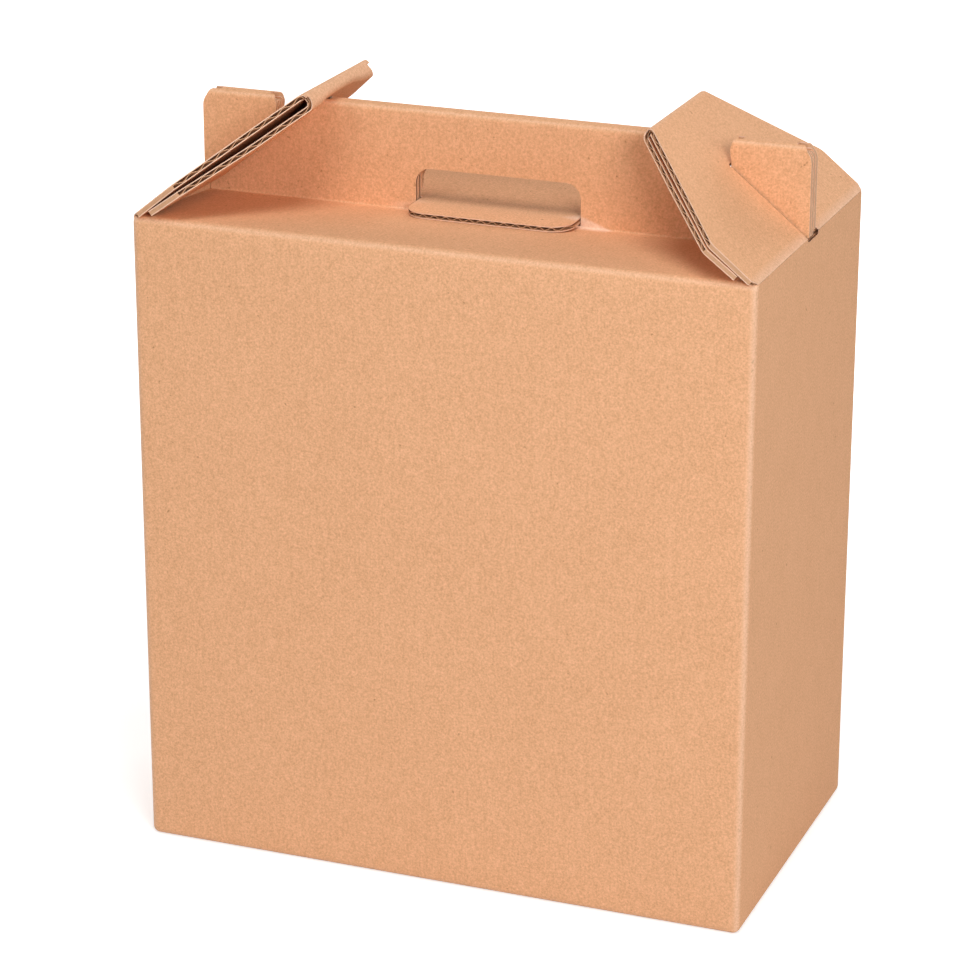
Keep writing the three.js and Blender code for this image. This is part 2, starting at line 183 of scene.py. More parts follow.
def inside(points, loop):
    """True where a point lies in a loop: a line to its right crosses the loop an odd number of
    times."""
    x, y = points.T
    odd = np.zeros(len(points), bool)
    for (x0, y0), (x1, y1) in zip(loop, np.roll(loop, -1, axis=0)):
        if y0 != y1:
            odd ^= ((y0 > y) != (y1 > y)) & (x < x0 + (y - y0) * (x1 - x0) / (y1 - y0))
    return odd


def flat_net(outline, holes, columns, rows):
    """Points and triangles of the outline without its holes, cut along the columns and rows."""
    outline = np.array(outline, float)
    low, high = outline.min(0) - BEYOND, outline.max(0) + BEYOND
    points, edges = [], []
    for loop in [outline, *holes]:
        first = len(points)
        points += [tuple(point) for point in np.asarray(loop, float)]
        edges += [(first + i, first + (i + 1) % len(loop)) for i in range(len(loop))]
    lines = [((u, low[1]), (u, high[1])) for u in columns if low[0] < u < high[0]]
    lines += [((low[0], v), (high[0], v)) for v in rows if low[1] < v < high[1]]
    for start, end in lines:
        edges.append((len(points), len(points) + 1))
        points += [start, end]
    found = delaunay_2d_cdt([Vector(map(float, p)) for p in points], edges, [], 0, 1e-4, False)
    places = np.array([tuple(point) for point in found[0]])
    triangles = np.array(found[2])
    corners = places[triangles]
    first, second = corners[:, 1] - corners[:, 0], corners[:, 2] - corners[:, 0]
    area = first[:, 0] * second[:, 1] - first[:, 1] * second[:, 0]
    middles = corners.mean(1)
    keep = inside(middles, outline) & (abs(area) > TINY)
    for hole in holes:
        keep &= ~inside(middles, np.asarray(hole, float))
    triangles = np.where(area[:, None] < 0, triangles[:, ::-1], triangles)[keep]
    used, triangles = np.unique(triangles, return_inverse=True)
    return places[used], triangles.reshape(-1, 3)


# %% A closed skin, and three of them as board
FACE, FLUTE, CUT, CRUSHED = range(4)  # places in a piece's list of materials


def skin(net, place, low, high, faces):
    """A closed shell: the net at its high and its low side, and a wall from one to the other
    along every edge that only one triangle has. It is turned over if its volume is negative."""
    flat, triangles = net
    u, v = flat.T
    count = len(flat)
    top = np.stack(np.broadcast_arrays(*place(u, v, high(u))), -1)
    bottom = np.stack(np.broadcast_arrays(*place(u, v, low(u))), -1)
    edges = triangles[:, [0, 1, 1, 2, 2, 0]].reshape(-1, 2)
    keys = edges.min(1) * count + edges.max(1)
    _, first, uses = np.unique(keys, return_index=True, return_counts=True)
    a, b = edges[first[uses == 1]].T
    wall = np.concatenate([np.stack([a, a + count, b + count], 1), np.stack([a, b + count, b], 1)])
    corners = np.concatenate([triangles, triangles[:, ::-1] + count, wall])
    vertices = np.concatenate([top, bottom])
    x = vertices[corners]
    if np.einsum("ij,ij->i", x[:, 0], np.cross(x[:, 1], x[:, 2])).sum() < 0:
        corners = corners[:, ::-1]
    slots = np.full(len(corners), faces)
    slots[2 * len(triangles) :] = CUT if faces == FACE else CRUSHED
    return vertices, corners, np.concatenate([flat, flat]), slots


def steps_between(low, high, most):
    """Evenly spaced values from low to high, at most so far apart."""
    return np.linspace(low, high, max(2, math.ceil((high - low) / most) + 1))


def corrugated(outline, place, rows, holes=(), columns=(), closed_from=None):
    """Board: a liner at either side of the waves, and between them the height of a paper point is
    a sine of its distance across the flutes. Beyond closed_from the crushed edge shuts them."""
    outline = np.asarray(outline, float)
    (left, bottom), (right, top) = outline.min(0), outline.max(0)
    grid = np.union1d(steps_between(left, right, GRID), columns)
    plain = np.union1d(steps_between(bottom, top, GRID), rows)
    net = flat_net(outline, holes, grid, plain)
    skins = [
        skin(net, place, lambda u: 0 * u + core, lambda u: 0 * u + half_board, FACE),
        skin(net, place, lambda u: 0 * u - half_board, lambda u: 0 * u - core, FACE),
    ]
    waves = np.arange(left - left % flute_pitch - flute_pitch, right + flute_pitch, flute_pitch / 6)
    shut_step, glue_line = 0.1, 0.01
    if closed_from is not None:
        shut = np.array([closed_from, closed_from + shut_step])
        waves = np.concatenate([waves, shut, -shut])
    swing = core - medium / 2 - glue_line

    def paper(side):
        def height(u):
            wave = swing * np.sin(2 * math.pi * u / flute_pitch) + side * medium / 2
            if closed_from is None:
                return wave
            shut = abs(u) > closed_from + shut_step / 2
            return np.where(shut, side * (core - glue_line), wave)

        return height

    fine = flat_net(outline, holes, np.union1d(waves, columns), rows)
    return [*skins, skin(fine, place, paper(-1), paper(1), FLUTE)]


# %% [markdown]
# ## Paper
# Kraft paper is a matt brown with a fine cloudy grain and a few dark fibres. Very faint lines
# where the flutes lie are painted shade of the board's washboard ripples, which the bump also
# makes. Folds are painted lighter: partly rubbed paper, partly a painted highlight. The paper's
# look is one node group that each material uses with its own values. The grain reads object
# coordinates. The fibres and the painted flute lines read the sheet's own flat coordinates, and
# the folds read a value stored on the mesh, so both follow the board round a bend.

# %% Colours and a helper for nodes


def paint(red, green, blue):
    """A colour as a screen shows it, from 0 to 255, as the linear colour that shaders use."""
    share = np.array([red, green, blue]) / 255
    linear = np.where(share <= 0.04045, share / 12.92, ((share + 0.055) / 1.055) ** 2.4)
    return (*map(float, linear), 1.0)


def add_node(tree, kind, settings=(), **inputs):
    """A node of a kind, with settings and with values or links for its named inputs."""
    node = tree.nodes.new("ShaderNode" + kind)
    for name, value in dict(settings).items():
        setattr(node, name, value)
    for name, value in inputs.items():
        key = int(name[1:]) if name[0] == "_" else name.replace("_", " ")
        socket = node.inputs[key]
        if isinstance(value, bpy.types.NodeSocket):
            tree.links.new(value, socket)
        else:
            socket.default_value = value
    return node


def maths(tree, operation, *values, clamp=False):
    """The output of a Math node on values or sockets."""
    inputs = {f"_{i}": value for i, value in enumerate(values)}
    return add_node(tree, "Math", {"operation": operation, "use_clamp": clamp}, **inputs).outputs[0]


# %% The paper's grain as a node group


def paper_group():
    """Colour = paper colour x (1 + cloud + grain + painted flute ripple shade), darker at fibres,
    lighter at folds, where rubbed paper and a painted highlight are mixed in. A darker spot is
    redder and a lighter one is paler, as in kraft paper."""
    tree = bpy.data.node_groups.new("Kraft paper", "ShaderNodeTree")
    for name, kind, start in [
        ("Paper", "NodeSocketColor", (0.7, 0.4, 0.2, 1)),
        ("Pale fold colour", "NodeSocketColor", (0.9, 0.6, 0.4, 1)),
        ("Grain", "NodeSocketFloat", 0.06),
        ("Painted flute ripple shade", "NodeSocketFloat", 0.01),
        ("Fold wear and highlight", "NodeSocketFloat", 0.6),
    ]:
        tree.interface.new_socket(name, in_out="INPUT", socket_type=kind).default_value = start
    tree.interface.new_socket("Color", in_out="OUTPUT", socket_type="NodeSocketColor")
    tree.interface.new_socket("Height", in_out="OUTPUT", socket_type="NodeSocketFloat")
    given = tree.nodes.new("NodeGroupInput").outputs
    place = add_node(tree, "TexCoord").outputs["Object"]
    flat = add_node(tree, "UVMap", {"uv_map": "sheet"}).outputs["UV"]
    fold = add_node(tree, "Attribute", {"attribute_name": "fold"}).outputs["Fac"]

    def cloud(vector, scale, detail=2.0, rough=0.6):
        values = {"Vector": vector, "Scale": scale, "Detail": detail, "Roughness": rough}
        noise = add_node(tree, "TexNoise", **values).outputs["Fac"]
        return maths(tree, "SUBTRACT", noise, 0.5)

    # A cloud's scale is how many of its spots fit in a metre.
    grain = cloud(place, 900.0, 3.0, 0.75)
    pulp = cloud(place, 150.0)
    patches = cloud(place, 14.0)
    stretched = add_node(tree, "Mapping", Vector=flat, Scale=(900.0, 60.0, 1.0)).outputs[0]
    fibres = cloud(stretched, 1.0)
    # Faint lines along the flutes: painted shade of the washboard ripples, a sine across the
    # flutes.
    across = add_node(tree, "SeparateXYZ", Vector=flat).outputs[0]
    turns = maths(tree, "MULTIPLY", across, 2 * math.pi / (flute_pitch * MM))
    ripple_shade = maths(tree, "MULTIPLY", maths(tree, "SINE", turns), given["Painted flute ripple shade"])
    cloudy = maths(tree, "MULTIPLY_ADD", pulp, 0.10, maths(tree, "MULTIPLY", patches, 0.07))
    mottle = maths(tree, "ADD", grain, maths(tree, "MULTIPLY_ADD", fibres, 0.14, cloudy))
    shade = maths(tree, "MULTIPLY_ADD", mottle, maths(tree, "MULTIPLY", given["Grain"], 4.0), 1.0)
    shade = maths(tree, "ADD", shade, ripple_shade)
    speck = add_node(tree, "TexNoise", Vector=place, Scale=330.0, Detail=1.0).outputs["Fac"]
    dark = add_node(tree, "MapRange", Value=speck, From_Min=0.745, From_Max=0.80).outputs[0]
    shade = maths(tree, "MULTIPLY", shade, maths(tree, "MULTIPLY_ADD", dark, -0.35, 1.0))
    redder = maths(tree, "POWER", shade, 0.8)
    bluer = maths(tree, "POWER", shade, 1.3)
    tone = add_node(tree, "CombineColor", Red=redder, Green=shade, Blue=bluer).outputs[0]
    multiply = {"data_type": "RGBA", "blend_type": "MULTIPLY"}
    plain = add_node(tree, "Mix", multiply, _0=1.0, _6=given["Paper"], _7=tone).outputs[2]
    # Folds mix towards a paler colour, patchy with the grain: rubbed paper with a painted
    # highlight.
    patchy_fold = add_node(tree, "MapRange", Value=grain, From_Min=-0.6, From_Max=0.25).outputs[0]
    worn_and_highlit = maths(tree, "MULTIPLY", patchy_fold, fold)
    worn_and_highlit = maths(tree, "MULTIPLY", worn_and_highlit, given["Fold wear and highlight"], clamp=True)
    mixed = add_node(tree, "Mix", {"data_type": "RGBA"}, _0=worn_and_highlit, _6=plain, _7=given["Pale fold colour"])
    height = maths(tree, "MULTIPLY_ADD", maths(tree, "SINE", turns), 0.25, grain)
    result = tree.nodes.new("NodeGroupOutput")
    tree.links.new(mixed.outputs[2], result.inputs["Color"])
    tree.links.new(height, result.inputs["Height"])
    return tree


paper_look = paper_group()
print("group", paper_look.name, "has", len(paper_look.nodes), "nodes")

# %% The papers that show


def paper(name, colour, grain, lines, fold_wear_and_highlight_amount, bump):
    """A matt material that takes its colour and its bumps from the paper group."""
    material = bpy.data.materials.new(name)
    material.use_nodes = True
    tree = material.node_tree
    shader = tree.nodes["Principled BSDF"]
    shader.inputs["Roughness"].default_value = 0.86
    shader.inputs["Specular IOR Level"].default_value = 0.22
    look = add_node(tree, "Group", {"node_tree": paper_look})
    look.inputs["Paper"].default_value = colour
    # The paler colour of a fold: rubbed paper, with a painted highlight in it.
    look.inputs["Pale fold colour"].default_value = paint(248, 214, 190)
    look.inputs["Grain"].default_value = grain
    # Strength of the painted shade of the washboard ripples.
    look.inputs["Painted flute ripple shade"].default_value = lines
    look.inputs["Fold wear and highlight"].default_value = fold_wear_and_highlight_amount
    tree.links.new(look.outputs["Color"], shader.inputs["Base Color"])
    raised = add_node(tree, "Bump", Strength=bump, Distance=0.0002, Height=look.outputs["Height"])
    tree.links.new(raised.outputs[0], shader.inputs["Normal"])
    return material


# Values after the colour: grain, strength of the painted flute ripple shade, strength of the paler
# folds (rubbed paper with a painted highlight), bump.
kraft_face = paper("Kraft liner", paint(230, 174, 131), 0.27, 0.005, 1.0, 0.3)
flute_paper = paper("Fluting", paint(150, 106, 74), 0.12, 0.0, 0.0, 0.1)
cut_paper = paper("Cut edge of the liner", paint(238, 198, 170), 0.12, 0.0, 0.0, 0.1)
crushed_paper = paper("Cut edge of the fluting", paint(206, 158, 122), 0.12, 0.0, 0.0, 0.1)
finishes = (kraft_face, flute_paper, cut_paper, crushed_paper)  # in the order of their numbers
print("materials", [material.name for material in finishes])

# %% [markdown]
# ## A piece from its skins
# All skins of a piece go into one mesh, with the flat coordinates as its UV map and a value
# that says how near a fold each point is. The object stays at the origin, unturned, because
# the frame gives every place. The piece then rides on its body and stands for its CAD node.

# %% Skins into a mesh
SHARP = math.radians(38)


def make_piece(name, body, skins, fold, stands_for=None):
    """One object from skins. fold(x, y, z) gives 1 where a fold is painted paler, as rubbed paper
    with a painted highlight, and 0 away from it.
    """
    counts = np.cumsum([0, *(len(part[0]) for part in skins)])
    vertices = np.concatenate([part[0] for part in skins])
    corners = np.concatenate([part[1] + start for part, start in zip(skins, counts)])
    flat = np.concatenate([part[2] for part in skins])
    slots = np.concatenate([part[3] for part in skins])
    mesh = bpy.data.meshes.new(name)
    mesh.vertices.add(len(vertices))
    mesh.vertices.foreach_set("co", (vertices * MM).ravel())
    mesh.loops.add(corners.size)
    mesh.loops.foreach_set("vertex_index", corners.ravel().astype(np.int32))
    mesh.polygons.add(len(corners))
    mesh.polygons.foreach_set("loop_start", np.arange(0, corners.size, 3, dtype=np.int32))
    mesh.polygons.foreach_set("material_index", slots.astype(np.int32))
    mesh.update(calc_edges=True)
    uv = mesh.uv_layers.new(name="sheet")
    uv.data.foreach_set("uv", (flat[corners.ravel()] * MM).ravel())
    nearness = mesh.attributes.new("fold", "FLOAT", "POINT")
    nearness.data.foreach_set("value", np.clip(fold(*vertices.T), 0, 1).astype(np.float32))
    for material in finishes:
        mesh.materials.append(material)
    mesh.shade_smooth()
    mesh.set_sharp_from_angle(angle=SHARP)
    piece = bpy.data.objects.new(name, mesh)
    bpy.context.scene.collection.objects.link(piece)
    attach(piece, body)
    if stands_for:
        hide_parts(stands_for)
    print(name, len(skins), "skins,", len(corners), "triangles")


def near(distance, width):
    """1 on a line and falling to 0 away from it, as a bell curve of the distance."""
    return np.exp(-((distance / width) ** 2))


# %% [markdown]
# ## The four walls
# The walls are one strip, folded at four upright creases and glued at the rear left one. Along
# the bottom it turns in under the box, and along the front and rear top edges it turns in to
# the roofs. A bevelled cube would be round at all its edges, also where the side walls end, so
# the strip is placed by its own formula: round each corner's centre by one angle, and over the
# top and bottom by another.

# %% The strip of the walls
straight_x = half_width - crease_radius
straight_y = half_depth - crease_radius
seam_inset = 1.2  # the seam is this far from the rear left corner's arc
seam_gap = 0.5
CORNER_ROWS = 7
turned_part = np.linspace(0, 1, CORNER_ROWS)[:, None]


def around_walls():
    """Centre and angle along the strip, anticlockwise from the seam: the corner's centre stays
    still while the angle turns, and the centre moves while the angle stays."""
    corners = [(-1, -1, 180), (1, -1, 270), (1, 1, 360), (-1, 1, 450)]
    rows = [np.array([[-straight_x, straight_y - seam_inset, 180]])]
    for x, y, angle in corners:
        rows.append(np.array([x * straight_x, y * straight_y, angle]) + turned_part * [0, 0, 90])
    rows.append(np.array([[-straight_x, straight_y - seam_inset + seam_gap, 540]]))
    line = np.concatenate(rows)
    moves = np.linalg.norm(np.diff(line[:, :2], axis=0), axis=1)
    moves += middle_radius * np.radians(np.diff(line[:, 2]))
    return np.concatenate([[0], np.cumsum(moves)]), line


wall_u, wall_line = around_walls()
rise = wall_height - 2 * crease_radius
tilt = np.radians([-88, -75, -60, -45, -30, -15, 0, 0, 15, 30, 45, 60, 75, 90])
wall_v = np.concatenate([middle_radius * tilt[:7], rise + middle_radius * tilt[7:]])
print("wall strip", round(wall_u[-1]), "by", round(wall_v[-1] - wall_v[0]), "mm")

# %% Places on the strip


def place_wall(u, v, height):
    """Out from the corner's centre by the fold's radius, and up or down by its tilt."""
    x, y, angle = (np.interp(u, wall_u, column) for column in wall_line.T)
    lean = np.interp(v, wall_v, tilt)
    radius = middle_radius + height
    level = np.where(v < rise, 1, wall_height - crease_radius)
    level = np.where(v < 0, crease_radius, np.where(v > rise, level, crease_radius + v))
    level = level + radius * np.sin(lean)
    in_x = np.where(lean < 0, np.cos(lean), 1)
    angle = np.radians(angle)
    return x + radius * np.cos(angle) * in_x, y + radius * np.sin(angle) * np.cos(lean), level


# %% The slot's end in a side wall
notch_wide, notch_high = 2.0, 1.2  # the rounding of the notch's lower corners
right_wall = slice(CORNER_ROWS, 2 * CORNER_ROWS + 2)  # rows from front to rear along that wall


def slot_foot(side):
    """The slot's end in a side wall, on the flat strip: a rounded notch in its top edge."""
    if side > 0:
        centre_line = np.interp(0, wall_line[right_wall, 1], wall_u[right_wall])
        middle = centre_line + slot_middle
    else:
        middle = straight_y - seam_inset - slot_middle
    half = slot_width / 2
    foot = wall_v[-1] - middle_radius * math.radians(60)
    corner = np.radians(np.linspace(180, 270, 7))
    round_x, round_y = notch_wide * (1 + np.cos(corner)), notch_high * (1 + np.sin(corner))
    left = np.stack([middle - half + round_x, foot + round_y], 1)
    right = np.stack([middle + half - round_x, foot + round_y], 1)
    top = [[middle + half, wall_v[-1] + BEYOND], [middle - half, wall_v[-1] + BEYOND]]
    return np.concatenate([left, right[::-1], top])


# %% The walls as one piece


def wall_fold(x, y, z):
    """Paler paper at the upright creases and at the ones along the top and bottom: rubbed paper
    with a painted highlight.
    """
    x, y = abs(x) - half_width, abs(y) - half_depth
    upright = 0.45 * near(np.hypot(x + 1.2, y + 1.2), 1.8)
    bottom = 0.25 * near(z - 1.2, 1.4) * (np.maximum(x, y) > -2.5)
    top = 0.3 * near(z - wall_height + 1.4, 0.9) * (y > -crease_radius)
    return upright + bottom + top


strip = [(0, wall_v[0]), (wall_u[-1], wall_v[0]), (wall_u[-1], wall_v[-1]), (0, wall_v[-1])]
wall_skins = corrugated(
    strip, place_wall, wall_v, holes=[slot_foot(1), slot_foot(-1)], columns=wall_u[1:-1]
)
make_piece("walls", "carton", wall_skins, wall_fold, "carton")

# %% [markdown]
# ## The base
# Four flaps close the base without glue. The side flaps lie beside the front one, the rear one
# lies over them, and a tongue of the front flap climbs over the rear flap and holds it down.
# Each is a flat sheet on its own fold line. They continue the walls where those turn in.

# %% The base flaps
base_level = half_board
lock_half = 55.0
lock_gap = 1.5
lock_foot = -30.0
lock_end = 42.0
front_end = 8.0
over_rear = base_level + 2 * (board + sheet_gap)
rear_level = base_level + board + sheet_gap


def lies_across(line):
    """Places for a sheet whose flutes run front to back: X is across, Y and Z follow the line."""
    return lambda u, v, height: (u, *line.at(v, height))


def no_fold(x, y, z):
    """No paler folds, neither rubbed nor with a painted highlight: 0 at every point."""
    return 0 * x


front_line = FoldLine((-straight_y, base_level), (front_end, base_level))
narrow, taper = half_width - 13.5, 9.5
front_flap_outline = [
    (-straight_x, 0),
    (straight_x, 0),
    (narrow, taper),
    (narrow, front_line.length),
    (-narrow, front_line.length),
    (-narrow, taper),
]
lock_room = lock_foot + straight_y
lock_hole = [
    (-lock_half - lock_gap, lock_room),
    (lock_half + lock_gap, lock_room),
    (lock_half + lock_gap, front_line.length + BEYOND),
    (-lock_half - lock_gap, front_line.length + BEYOND),
]
lock_line = FoldLine(
    (lock_foot, base_level),
    (lock_foot + 2, base_level, 8),
    (10, over_rear, 8),
    (lock_end, over_rear),
)
lock_outline = [
    (-lock_half, 0),
    (lock_half, 0),
    (lock_half, lock_line.length),
    (-lock_half, lock_line.length),
]
print("front base flap", round(front_line.length), "mm, its lock", round(lock_line.length), "mm")

# %% The rear base flap
rear_line = FoldLine(
    (straight_y, base_level),
    (86, base_level, 6),
    (80, rear_level, 6),
    (lock_foot, rear_level),
)
rear_half = half_width - 10
rear_notch = lock_half + lock_gap
notch_start = rear_line.length_at(11.5, column=0)
rear_outline = [
    (-rear_half, 0),
    (rear_half, 0),
    (rear_half, rear_line.length),
    (rear_notch, rear_line.length),
    (rear_notch, notch_start),
    (-rear_notch, notch_start),
    (-rear_notch, rear_line.length),
    (-rear_half, rear_line.length),
]
print("rear base flap", round(rear_line.length), "mm")

# %% The base as one piece
base_skins = corrugated(front_flap_outline, lies_across(front_line), [], holes=[lock_hole])
base_skins += corrugated(lock_outline, lies_across(lock_line), lock_line.stations)
base_skins += corrugated(rear_outline, lies_across(rear_line), rear_line.stations)
# The side flaps' outline: along the wall from front to rear, and away from the wall.
side_outline = [(-92, 0), (-80, 8), (9.5, 8), (9.5, 54), (59, 54), (79, 34), (79, 8), (92, 0)]
for side in (-1, 1):

    def beside(u, v, height, side=side):
        """Places for a side flap: flat at the lowest level, and in from its wall."""
        return side * (straight_x - v), u, base_level + height

    base_skins += corrugated(side_outline, beside, [])
make_piece("base_flaps", "carton", base_skins, no_fold)

# %% The seam tab
tab_gap = 0.05
tab_top = wall_height - 14


def inside_wall(u, v, height):
    """Places for the seam tab: flat against the inside of the left wall."""
    return -half_width + board + half_board + tab_gap + height, u, v


tab_outline = [(64, 24), (94, 14), (94, tab_top), (64, tab_top - 10)]
make_piece("seam_tab", "carton", corrugated(tab_outline, inside_wall, []), no_fold)

# %% [markdown]
# ## The handle's outline
# Seen from the front, the handle has an ear at each end. The ear goes up through the slot of a
# gable flap, and its hook lies over the flap's face. Beside it a slit takes the doubled flap.
# The outline is drawn from the front once. Each sheet then looks up how far along its own line
# a height lies, so that the same cut goes through all three sheets.

# %% The outline seen from the front
ear_foot = wall_height + 0.4
ear_radius = 9.0
ear_width = 34.3
handle_height = handle_top - wall_height
hook_reach = math.hypot(ear_width, handle_height)
slot_end = hook_reach + 0.6
slit_end = slot_end - 5.0
ridge_gap, mouth_gap = 1.6, 0.4
ridge_radius = board + ridge_gap / 2
ridge_middle = flap_length - ridge_radius


def layer_gap(up):
    """Gap between the flap's two layers, which grows evenly from the mouth to the ridge."""
    share = (up - inner_layer_start) / (ridge_middle - inner_layer_start)
    return mouth_gap + (ridge_gap - mouth_gap) * share


def on_flap(up, out):
    """X and Z on the right flap, so far up its slope from the hinge and so far out of its face."""
    x = half_width - up * math.cos(flap_slope) + out * math.sin(flap_slope)
    return x, wall_height + up * math.sin(flap_slope) + out * math.cos(flap_slope)


def turned(centre, radius, start, end, steps=10):
    """Points of a circle from one angle to another, in degrees."""
    angle = np.radians(np.linspace(start, end, steps + 1))
    return np.stack([centre[0] + radius * np.cos(angle), centre[1] + radius * np.sin(angle)], 1)


def slit_side(up):
    """The slit's side under the flap: as deep as both layers and their gap, with a little room."""
    return np.array(on_flap(up, -(2 * board + layer_gap(up) + 0.5)))


ear_centre = (half_width - ear_radius, handle_top - ear_radius)
ear_round = turned(ear_centre, ear_radius, 0, 90)
ear_edge = np.concatenate([[[half_width, ear_foot]], ear_round])
neck = np.array(on_flap(slit_end, 0))
nose = np.array([neck[0] - 1.2, handle_top])  # the hook's corner, before it is rounded
nose_edge = np.array([0.9, -11.5])  # from that corner down to where the hook ends
hook_rounding, slit_rounding = 5.5, 3.0
slit_setback = 4.2
outer_top = np.array([half_width, handle_top])
hook = rounded(outer_top, nose, nose + nose_edge, hook_rounding)[0]
slit_foot = slit_side(slit_end - slit_setback)
upper = slit_side(ridge_middle)
share_up = (handle_top - slit_foot[1]) / (upper[1] - slit_foot[1])
slit_head = slit_foot + (upper - slit_foot) * share_up
main_corner = rounded(slit_foot, slit_head, np.array([0, handle_top]), slit_rounding)[0]
under_hook = np.array([neck[0] + 0.2, neck[1] + 1.5])
slit_edge = np.concatenate([hook, [under_hook, neck, slit_foot], main_corner])
print("slit from", slit_edge[0].round(1), "to", slit_edge[-1].round(1))

# %% [markdown]
# ## The front roof and the handle
# The front roof slopes down to the handle, turns up as its front sheet, folds over the top and
# hangs down behind. The rear roof turns up between the two. All of it is one fold line each.
# Where the hand hole is cut, the middle sheet's board stays on the rear roof as a tongue,
# which lies forward through the hole and shows its flutes to the viewer.

# %% The two fold lines
roof_foot = roof_middle - front_roof_drop
cap_level = handle_top - half_board
cap_bend = 3.2 - half_board
front_path = FoldLine(
    (-straight_y, roof_middle),
    (-straight_y + 2, roof_middle, 20),
    (front_sheet, roof_foot, middle_radius),
    (front_sheet, cap_level, cap_bend),
    (hanging_sheet, cap_level, cap_bend),
    (hanging_sheet, wall_height + 2.5),
)
tongue_end = handle_middle - 26.5
share_down = (tongue_end + wall_middle) / (front_sheet + wall_middle)
on_front_roof = roof_middle - front_roof_drop * share_down
tongue_level = on_front_roof + board + sheet_gap
rear_fall = (roof_middle - tongue_level) / (wall_middle - tongue_end)
rear_foot = roof_middle - rear_fall * (wall_middle - handle_middle)
under_cap = 0.6
middle_top = handle_top - board - under_cap
rear_path = FoldLine(
    (straight_y, roof_middle),
    (straight_y - 2, roof_middle, 20),
    (handle_middle, rear_foot, middle_radius),
    (handle_middle, middle_top),
)
cap_apex = front_path.bends[2:4].mean()
print("front sheet", round(front_path.length), "mm, rear sheet", round(rear_path.length), "mm")

# %% Sheets cut to the handle's outline
hole_half, hole_radius, hole_height = 46.5, 8.5, 23.5


def hole_seen(foot, top):
    """The hand hole seen from the front: square at its foot and round at its top corners."""
    left = turned((-hole_half + hole_radius, top - hole_radius), hole_radius, 180, 90)
    right = turned((hole_half - hole_radius, top - hole_radius), hole_radius, 90, 0)
    return np.concatenate([[[-hole_half, foot]], left, right, [[hole_half, foot]]])


def going_up(line, seen, until=None):
    """Flat points of a line seen from the front, on the part of the sheet that rises."""
    start = line.bends[1] - 0.3
    return np.stack([seen[:, 0], line.length_at(seen[:, 1], after=start, until=until)], 1)


def hanging(line, seen):
    """The same on the part that hangs down behind, where length grows as height falls."""
    return np.stack([seen[:, 0], line.length_at(seen[:, 1], after=cap_apex)], 1)


def both_sides(right_half):
    """A half outline and its mirror image as one loop."""
    right_half = np.asarray(right_half, float)
    return np.concatenate([right_half, (right_half * [-1, 1])[::-1]])


front_ear = going_up(front_path, ear_edge, cap_apex)
rear_ear = hanging(front_path, ear_edge)[::-1]
front_half = [[roof_half, 0], [roof_half, front_ear[0, 1]], *front_ear, *rear_ear[:-1]]
front_outline = both_sides([*front_half, [half_width, front_path.length]])
slit_front, slit_rear = going_up(front_path, slit_edge, cap_apex), hanging(front_path, slit_edge)
right_slit = np.concatenate([slit_front, slit_rear[::-1]])
hole = hole_seen(roof_foot + half_board + 1, roof_foot + half_board + hole_height)
front_holes = [
    right_slit,
    right_slit * [-1, 1],
    going_up(front_path, hole, cap_apex),
    hanging(front_path, hole) + [0, 0.01],
]
print(len(front_holes), "cuts through the front sheet")

# %% The front sheet, from its roof to its hanging end
strain_height, strain_length = 6.5, 19.0
strain_rows = front_path.bends[1] + np.array([2.5, 3.5, 4.5, 5.5, 7.0, 9.0])
strain_columns = hole_half + np.arange(0, strain_length + 3, 2.0)
shut_from = half_width - 56  # the flutes of the ears and hooks are pressed shut
front_skins = corrugated(
    front_outline,
    lies_across(front_path),
    np.union1d(front_path.stations, strain_rows),
    holes=front_holes,
    columns=strain_columns,
    closed_from=shut_from,
)


def handle_fold(x, y, z):
    """The two folds along the handle's top, paler as rubbed paper with a painted highlight, and the
    paper strained pale beside the hand hole.
    """
    top = near(z - handle_top + 0.9, 0.8) * near(np.minimum(abs(y + 6.3), abs(y - 3.3)), 0.8)
    beside = abs(x) - hole_half
    reach_up = strain_height * (1 - beside / strain_length) - (z - roof_foot - half_board)
    strained = np.clip(reach_up / 1.2, 0, 1) * (beside > -1) * near(y - front_sheet + half_board, 3)
    return 0.3 * top + 1.3 * strained * np.where(x > 0, 1, 0.25)


make_piece("front_roof_and_handle", "carton", front_skins, handle_fold)

# %% The rear roof and the handle's middle sheet
middle_ear = going_up(rear_path, ear_edge)
middle_slit = going_up(rear_path, slit_edge)
past_top = rear_path.length + 1
past_end = [[middle_slit[-1, 0], past_top], [middle_slit[0, 0], past_top]]
middle_slit = np.concatenate([middle_slit, past_end])
middle_half = [[roof_half, 0], [roof_half, middle_ear[0, 1]], *middle_ear]
middle_hole_foot, middle_hole_top = 5, 26.5  # above the rear roof's foot
tongue_start = 2.2
bend_start = rear_path.bends[1] - tongue_start
middle_hole = hole_seen(rear_foot + middle_hole_foot, rear_foot + middle_hole_top)
middle_hole = going_up(rear_path, middle_hole)
middle_hole[[0, -1], 1] = bend_start
rear_skins = corrugated(
    both_sides(middle_half),
    lies_across(rear_path),
    np.append(rear_path.stations, bend_start),
    holes=[middle_slit, middle_slit * [-1, 1], middle_hole],
    closed_from=shut_from,
)

# %% The tongue
root = rear_path.at(bend_start, 0)
tongue_line = FoldLine(tuple(map(float, root)), (tongue_end, tongue_level))
tongue_half, tongue_radius = 46.0, 12.0
tongue_corner = turned(
    (tongue_half - tongue_radius, tongue_line.length - tongue_radius), tongue_radius, 0, 90
)
rear_skins += corrugated(
    both_sides([[tongue_half, 0], *tongue_corner]), lies_across(tongue_line), tongue_line.stations
)
make_piece("rear_roof_and_tongue", "carton", rear_skins, handle_fold)

